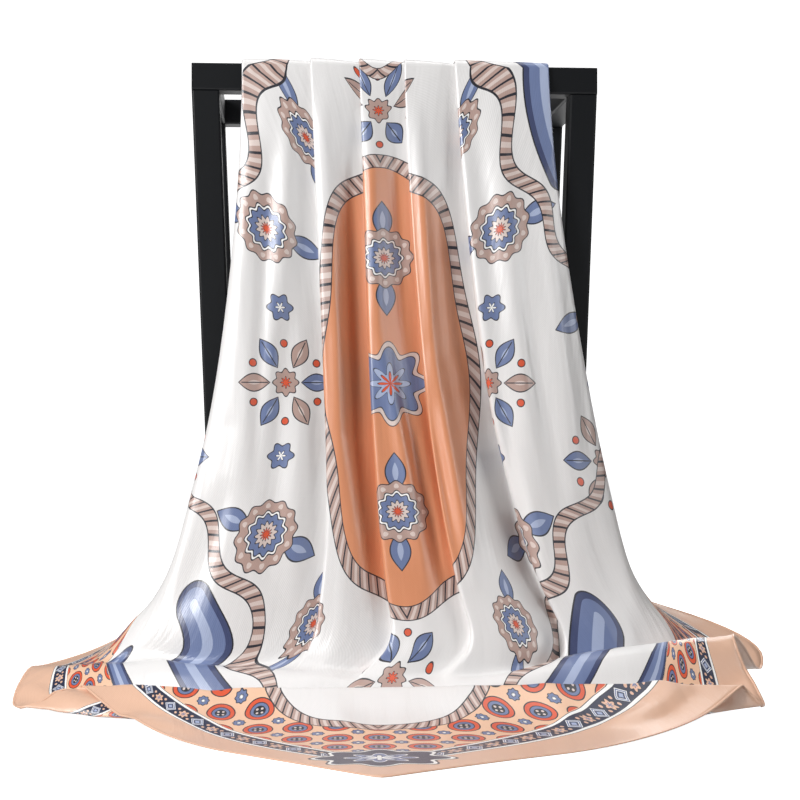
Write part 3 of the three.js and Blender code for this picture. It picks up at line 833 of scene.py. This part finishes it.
def addBlooms(tree, below, x, y):
    # a round flower with a long leaf on each side
    away = addNode(tree, "Math", y, operation="ABSOLUTE")
    out = addNode(tree, "Math", x, operation="ABSOLUTE")
    share = addNode(tree, "MapRange", out, 16.0, 52.0, 0.0, math.pi)
    leaf = addNode(tree, "Math", addNode(tree, "Math", share, operation="SINE"), -9, away,
                   operation="MULTIPLY_ADD")
    leaf = addNode(tree, "Math", leaf, 9.5, operation="ADD")
    colour = layRings(tree, below, leaf, [(3, "slateLight"), (8.4, "slate"), (9.5, "outline")])
    flower, angle = addPetals(tree, x, y, 12, 1.3)
    colour = layRings(tree, colour, flower, [
        (3, "accent"), (4, "outline"), (8, "taupeLight"), (9, "outline"), (14, "slate"), (15, "outline"),
        (16.5, "white"), (17.5, "outline"), (25, "taupe"), (26, "outline")])
    spots = addNode(tree, "Math", angle, math.pi / 12, operation="PINGPONG")
    spots = addNode(tree, "Math", spots, 21, operation="MULTIPLY")
    away = addNode(tree, "Math", flower, 21, operation="SUBTRACT")
    return layRings(tree, colour, addDistance(tree, spots, away), [(2, "taupeLight")])


def addFillers(tree, below, x, y):
    # small flowers between the larger motifs
    flower, _ = addPetals(tree, x, y, 6, 1.6)
    return layRings(tree, below, flower, [(2.4, "white"), (3.2, "outline"), (9, "slate"), (10, "outline")])


def addGroundMotifs(tree, below, flat):
    # sprays and blooms in turn beside the medallion, and a spray above and below it
    p, q, w = flat["p"], flat["q"], flat["w"]
    column = addNode(tree, "Math", p, 1 / pattern["cellWidth"],
                     0.5 - pattern["firstCell"] / pattern["cellWidth"], operation="MULTIPLY_ADD")
    column = addNode(tree, "Math", column, operation="FLOOR")
    stagger = addNode(tree, "Math", column, pattern["cellHeight"] / 2, operation="MULTIPLY")
    row = addNode(tree, "Math", w, stagger, operation="SUBTRACT")
    row = addNode(tree, "Math", row, pattern["cellHeight"], operation="DIVIDE")
    row = addNode(tree, "Math", row, operation="ROUND")
    middleY = addNode(tree, "Math", row, pattern["cellHeight"], stagger, operation="MULTIPLY_ADD")
    middleX = addNode(tree, "Math", column, pattern["cellWidth"], pattern["firstCell"],
                      operation="MULTIPLY_ADD")
    x = addNode(tree, "Math", p, middleX, operation="SUBTRACT")
    y = addNode(tree, "Math", w, middleY, operation="SUBTRACT")
    used = addNode(tree, "Math", addNode(tree, "Math", middleY, operation="ABSOLUTE"),
                   pattern["motifReach"], operation="LESS_THAN")
    used = addNode(tree, "Math", used, addNode(tree, "Math", column, 0.5, 0.6, operation="COMPARE"),
                   operation="MULTIPLY")
    odd = addNode(tree, "Math", addNode(tree, "Math", row, column, operation="ADD"), 1, operation="PINGPONG")
    sprays = addSprays(tree, below, x, y)
    leanX = addNode(tree, "Math", y, pattern["bloomLean"], x, operation="MULTIPLY_ADD")
    leanY = addNode(tree, "Math", x, -pattern["bloomLean"], y, operation="MULTIPLY_ADD")
    blooms = addBlooms(tree, below, leanX, leanY)
    colour = addNode(tree, "Mix", odd, sprays, blooms, data_type="RGBA")
    between = addNode(tree, "Math", y, operation="ABSOLUTE")
    between = addNode(tree, "Math", pattern["cellHeight"] / 2, between, operation="SUBTRACT")
    starred = addFillers(tree, colour, x, between)
    near = addNode(tree, "Math", q, pattern["starReach"], operation="LESS_THAN")
    colour = addNode(tree, "Mix", near, colour, starred, data_type="RGBA")
    colour = addNode(tree, "Mix", used, below, colour, data_type="RGBA")
    y = addNode(tree, "Math", q, pattern["topSpray"], operation="SUBTRACT")
    colour = addSprays(tree, colour, p, y)
    # a small bloom, leaves upright, beside each end of the medallion
    small = 1 / pattern["smallBloom"]
    upright = addNode(tree, "Math", q, small, -pattern["smallUp"] * small, operation="MULTIPLY_ADD")
    aside = addNode(tree, "Math", p, small, -pattern["smallAside"] * small, operation="MULTIPLY_ADD")
    return addBlooms(tree, colour, upright, aside)


def addMedallion(tree, below, flat):
    # a lobed oval of terracotta inside a rope, with one large rosette
    x = addNode(tree, "Math", flat["p"], 1 / pattern["medallionWidth"], operation="MULTIPLY")
    y = addNode(tree, "Math", flat["w"], 1 / pattern["medallionHeight"], operation="MULTIPLY")
    share, angle = addPetals(tree, x, y, 8, 0.03)
    distance = addDistance(tree, flat["p"], flat["w"])
    across = addNode(tree, "Math", distance, addNode(tree, "Math", distance, share, operation="DIVIDE"),
                     operation="SUBTRACT")
    inside = addNode(tree, "Math", across, 0, operation="LESS_THAN")
    colour = addNode(tree, "Mix", inside, below, linear(satin["terracotta"]), data_type="RGBA")
    along = addNode(tree, "Math", angle, 150, operation="MULTIPLY")
    colour = layRope(tree, colour, across, along, 11, 13)
    outward = addNode(tree, "Math", flat["q"], pattern["innerBlooms"], operation="SUBTRACT")
    colour = addBlooms(tree, colour, outward, flat["p"])
    rosette, _ = addPetals(tree, flat["p"], flat["w"], 8, 5)
    return layRings(tree, colour, rosette, [
        (5, "accent"), (6, "outline"), (13, "slateLight"), (14, "outline"), (27, "slate"), (28, "outline"),
        (32, "taupeLight"), (33, "outline")])


def addPrint(tree):
    # the whole print, from the flat cloth's own places in mm
    split = addNode(tree, "SeparateXYZ", addNode(tree, "UVMap", uv_map="cloth")).node
    size = 2 * halfDiagonal
    a = addNode(tree, "Math", split.outputs["X"], size, -halfDiagonal, operation="MULTIPLY_ADD")
    w = addNode(tree, "Math", split.outputs["Y"], size, -halfDiagonal, operation="MULTIPLY_ADD")
    p = addNode(tree, "Math", a, operation="ABSOLUTE")
    q = addNode(tree, "Math", w, operation="ABSOLUTE")
    major = addNode(tree, "Math", p, q, operation="MAXIMUM")
    minor = addNode(tree, "Math", p, q, operation="MINIMUM")
    both = addNode(tree, "Math", p, q, operation="ADD")
    lean = addNode(tree, "Math", p, q, operation="SUBTRACT")
    flat = {
        "p": p, "q": q, "w": w, "major": major, "minor": minor,
        "fromEdge": addNode(tree, "Math", both, -1 / math.sqrt(2), scarf["side"] / 2,
                            operation="MULTIPLY_ADD"),
        "run": addNode(tree, "Math", lean, 1 / math.sqrt(2), operation="MULTIPLY"),
        "fromCorner": addNode(tree, "Math", halfDiagonal, q, operation="SUBTRACT"),
    }
    colour = addGroundMotifs(tree, linear(satin["ground"]), flat)
    colour = addStraps(tree, colour, flat)
    colour = layRings(tree, colour, flat["fromEdge"], borderBands)
    colour = addFoulard(tree, colour, flat)
    colour = addBand(tree, colour, flat)
    wave = addNode(tree, "Math", flat["run"], 2 * math.pi / pattern["ropeWave"], operation="MULTIPLY")
    wave = addNode(tree, "Math", wave, operation="COSINE")
    frameLine = addNode(tree, "Math", wave, pattern["ropeSwing"], pattern["ropeFrame"],
                        operation="MULTIPLY_ADD")
    across = addNode(tree, "Math", flat["fromEdge"], frameLine, operation="SUBTRACT")
    colour = layRope(tree, colour, across, flat["run"], 9, 10)
    colour = addCorner(tree, colour, flat)
    return addMedallion(tree, colour, flat)


def addWeave(tree, shader):
    # fine wrinkles that run with the folds, and the satin's ribs, drawn coarser than real to show at all
    flat = addNode(tree, "UVMap", uv_map="cloth")
    size = 2 * halfDiagonal
    wrinkles = addNode(tree, "Mapping", flat)
    wrinkles.node.inputs["Scale"].default_value = (size / weave["wrinkleWidth"], size / weave["wrinkleLength"], 1)
    noise = addNode(tree, "TexNoise", wrinkles, noise_dimensions="2D")
    noise.node.inputs["Scale"].default_value = 1
    noise.node.inputs["Detail"].default_value = 3
    ribs = addNode(tree, "TexWave", flat, wave_type="BANDS", bands_direction="DIAGONAL")
    # a wave texture's phase is 10 times its scale times x + y, which grows sqrt(2) as fast across the ribs
    ribs.node.inputs["Scale"].default_value = size / weave["ribStep"] * 2 * math.pi / 10 / math.sqrt(2)
    ribs = ribs.node.outputs["Fac"]
    soft = tree.nodes.new("ShaderNodeBump")
    fine = tree.nodes.new("ShaderNodeBump")
    soft.inputs["Distance"].default_value = weave["wrinkleDepth"] * mm
    fine.inputs["Distance"].default_value = weave["ribDepth"] * mm
    tree.links.new(noise, soft.inputs["Height"])
    tree.links.new(ribs, fine.inputs["Height"])
    tree.links.new(soft.outputs["Normal"], fine.inputs["Normal"])
    tree.links.new(fine.outputs["Normal"], shader.inputs["Normal"])


def makeSatin(name):
    # silk satin with a smooth sheen, dyed right through
    material = bpy.data.materials.new(name)
    material.use_nodes = True
    tree = material.node_tree
    shader = tree.nodes["Principled BSDF"]
    tree.links.new(addPrint(tree), shader.inputs["Base Color"])
    shader.inputs["Roughness"].default_value = satin["roughness"]
    addWeave(tree, shader)
    shader.inputs["Specular IOR Level"].default_value = 0.85
    shader.inputs["Sheen Weight"].default_value = 0.1
    shader.inputs["Sheen Roughness"].default_value = 0.4
    shader.inputs["Anisotropic"].default_value = 0.5
    return material


silk = makeSatin("silk_satin_print")
sheet.data.materials.append(silk)

hemSilk = bpy.data.materials.new("silk_satin_hem")
hemSilk.use_nodes = True
hemShader = hemSilk.node_tree.nodes["Principled BSDF"]
hemShader.inputs["Base Color"].default_value = linear(satin["peach"])
hemShader.inputs["Roughness"].default_value = satin["roughness"]
hemPiece.data.materials.append(hemSilk)
stitches.data.materials.append(hemSilk)

paint = bpy.data.materials.new("black_powder_coat")
paint.use_nodes = True
paintShader = paint.node_tree.nodes["Principled BSDF"]
paintShader.inputs["Base Color"].default_value = linear("#0a0c0f")
paintShader.inputs["Roughness"].default_value = 0.45
paintShader.inputs["Specular IOR Level"].default_value = 0.22
for name in ("front_rail", "rear_rail", "left_side_rail", "right_side_rail", "front_left_leg",
             "front_right_leg", "rear_left_leg", "rear_right_leg"):
    node = bpy.data.objects[name]
    node.data.materials.clear()
    node.data.materials.append(paint)
print("materials set")


# Stage, light and camera

stage = {"radius": 5, "floorGlow": 0.9, "worldStrength": 0.17}


def setWhite(board, name, glow):
    # plain white that doesn't light the cloth
    board.name = name
    white = bpy.data.materials.new(name + "_white")
    white.use_nodes = True
    shader = white.node_tree.nodes["Principled BSDF"]
    shader.inputs["Base Color"].default_value = (0.85, 0.85, 0.85, 1)
    shader.inputs["Roughness"].default_value = 0.9
    shader.inputs["Emission Color"].default_value = (1, 1, 1, 1)
    shader.inputs["Emission Strength"].default_value = glow
    board.data.materials.append(white)
    board.visible_diffuse = False


bpy.ops.mesh.primitive_circle_add(radius=stage["radius"], vertices=64, fill_type="NGON")
setWhite(bpy.context.object, "floor", stage["floorGlow"])
bpy.ops.mesh.primitive_cylinder_add(radius=stage["radius"], depth=stage["radius"], vertices=64,
                                    end_fill_type="NOTHING")
backdrop = bpy.context.object
backdrop.visible_glossy = False
setWhite(backdrop, "backdrop", 1)

lamps = [
    {"name": "key", "place": (-1.6, -1.3, 1.2), "size": 0.7, "power": 50},
    {"name": "fill", "place": (1.8, -0.9, 0.9), "size": 0.7, "power": 8},
    {"name": "top", "place": (0.2, 0.0, 2.2), "size": 1.2, "power": 11},
    {"name": "rear", "place": (0.9, 2.0, 1.3), "size": 1.0, "power": 16},
]
for lamp in lamps:
    light = bpy.data.lights.new(lamp["name"], "AREA")
    light.size = lamp["size"]
    light.energy = lamp["power"]
    holder = bpy.data.objects.new(lamp["name"], light)
    holder.location = lamp["place"]
    holder.rotation_euler = (Vector((0, 0, 0.28)) - holder.location).to_track_quat("-Z", "Y").to_euler()
    bpy.context.scene.collection.objects.link(holder)

world = bpy.data.worlds.new("studio")
bpy.context.scene.world = world
world.use_nodes = True
world.node_tree.nodes["Background"].inputs["Color"].default_value = (1, 1, 1, 1)
world.node_tree.nodes["Background"].inputs["Strength"].default_value = stage["worldStrength"]
bpy.context.scene.view_settings.view_transform = "Standard"

# The camera stands 1.665 m from the rail, 0.271 m above the floor and 4 degrees to the left
camera = {"distance": 1665, "height": 271, "azimuth": -4, "aside": -4.5, "focal": 1822, "frame": 800,
          "sensor": 36}
turn = math.radians(camera["azimuth"])
lens = bpy.data.cameras.new("camera")
lens.sensor_width = camera["sensor"]
lens.lens = camera["focal"] / camera["frame"] * camera["sensor"]
eye = bpy.data.objects.new("camera", lens)
back = np.array([math.sin(turn), -math.cos(turn), 0]) * camera["distance"]
right = np.array([math.cos(turn), math.sin(turn), 0]) * -camera["aside"]
eye.location = inFrame(back + right + np.array([0, 0, camera["height"]]))
eye.rotation_euler = (math.pi / 2, 0, turn)
bpy.context.scene.collection.objects.link(eye)
bpy.context.scene.camera = eye
print("stage set")
